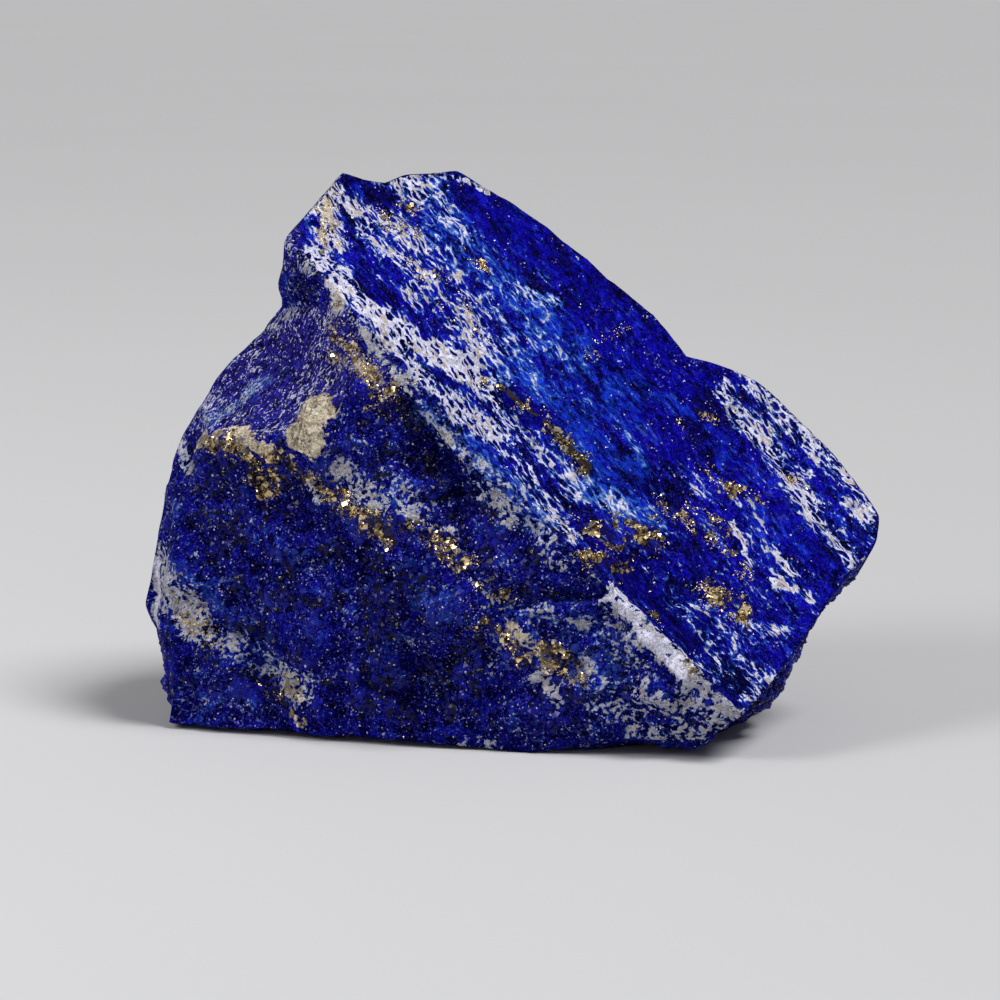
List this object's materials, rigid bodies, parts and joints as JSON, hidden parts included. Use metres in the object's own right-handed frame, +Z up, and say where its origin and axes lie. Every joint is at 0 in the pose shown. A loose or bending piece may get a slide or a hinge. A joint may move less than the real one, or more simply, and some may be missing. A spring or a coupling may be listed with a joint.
{
  "type": "rough lapis lazuli stone",
  "caption": "Rough unpolished block of lapis lazuli: one slanted banded face, a dark granular front and a broken back, resting on a flat break.",
  "frame": {"origin": "on the resting plane, under the middle of the stone's box", "axes": "+Z up from the resting break, +X along the longest side towards the nose, -Y towards the dark front"},
  "size_m": [0.0742, 0.0418, 0.0554],
  "materials": {
    "lapis": "rough broken stone with white veins and gold grains"
  },
  "bodies": {
    "root": {"lapis_stone": "lapis"}
  },
  "joints": []
}
